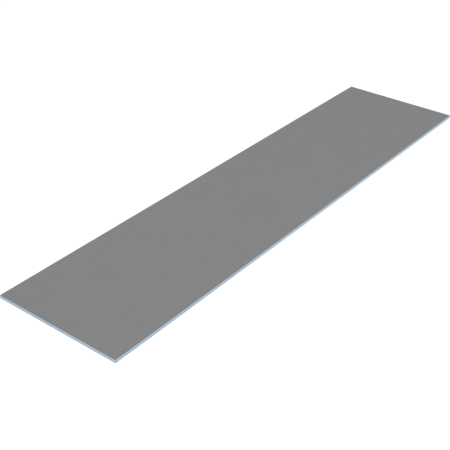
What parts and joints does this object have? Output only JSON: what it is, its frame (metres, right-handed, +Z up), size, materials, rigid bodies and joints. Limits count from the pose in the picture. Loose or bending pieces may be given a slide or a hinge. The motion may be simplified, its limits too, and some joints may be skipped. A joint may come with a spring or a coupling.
{
  "type": "foam backer board",
  "caption": "Long thin rectangular tile backer board lying flat: pale blue rigid foam core between grey mesh-reinforced mortar facings, cut square all round.",
  "frame": {"origin": "middle of the board's underside", "axes": "+X along the board's length, +Y across its width, +Z up out of the face that takes the tiles"},
  "size_m": [2.5, 0.6, 0.0125],
  "materials": {
    "extruded_foam": "matte",
    "mortar_facing": "matte"
  },
  "bodies": {
    "root": {"foam_core": "extruded_foam", "top_facing": "mortar_facing", "bottom_facing": "mortar_facing"}
  },
  "joints": []
}
